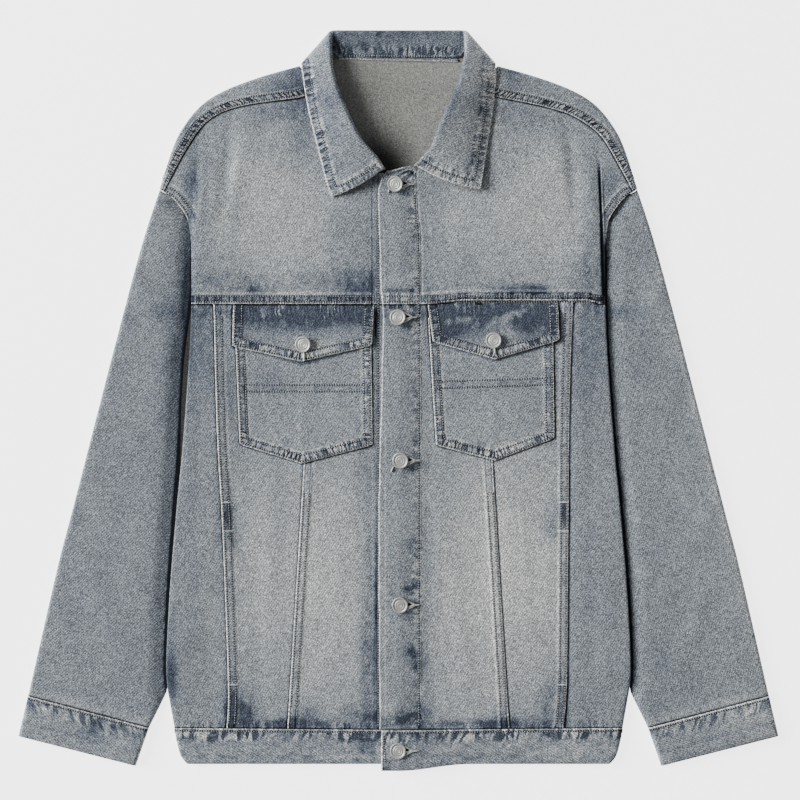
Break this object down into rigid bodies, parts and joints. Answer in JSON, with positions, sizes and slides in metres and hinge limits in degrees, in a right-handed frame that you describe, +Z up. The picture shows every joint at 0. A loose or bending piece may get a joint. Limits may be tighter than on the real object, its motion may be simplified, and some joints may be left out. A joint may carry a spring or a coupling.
{
  "type": "denim jacket",
  "caption": "Washed grey-blue denim trucker jacket laid flat and buttoned, with a pointed collar, flap chest pockets, drop shoulders, cuffs and a waistband.",
  "frame": {"origin": "middle of the laid jacket's outline, on the surface it lies on", "axes": "+X to the wearer's left, +Y towards the collar, +Z up out of the front"},
  "size_m": [0.761, 0.741, 0.0214],
  "materials": {
    "washed_denim": "stone-washed grey-blue cotton twill, matt, pale at the worn seam edges",
    "dark_denim": "less washed blue cotton twill, matt",
    "button_metal": "tarnished silver-coloured shank buttons with turned rings"
  },
  "bodies": {
    "root": {"back_panel": "washed_denim", "back_yoke": "washed_denim", "button_1": "button_metal", "button_2": "button_metal", "button_3": "button_metal", "button_4": "button_metal", "button_5": "button_metal", "button_stand": "dark_denim", "collar": "washed_denim", "collar_stand": "dark_denim", "cuff_left": "washed_denim", "cuff_right": "washed_denim", "front_centre_left": "washed_denim", "front_centre_right": "washed_denim", "front_mid_left": "washed_denim", "front_mid_right": "washed_denim", "front_side_left": "washed_denim", "front_side_right": "washed_denim", "front_yoke_left": "washed_denim", "front_yoke_right": "washed_denim", "placket": "washed_denim", "pocket_button_left": "button_metal", "pocket_button_right": "button_metal", "pocket_flap_left": "dark_denim", "pocket_flap_right": "dark_denim", "pocket_left": "washed_denim", "pocket_right": "washed_denim", "sleeve_left": "washed_denim", "sleeve_right": "washed_denim", "waistband": "washed_denim"}
  },
  "joints": []
}
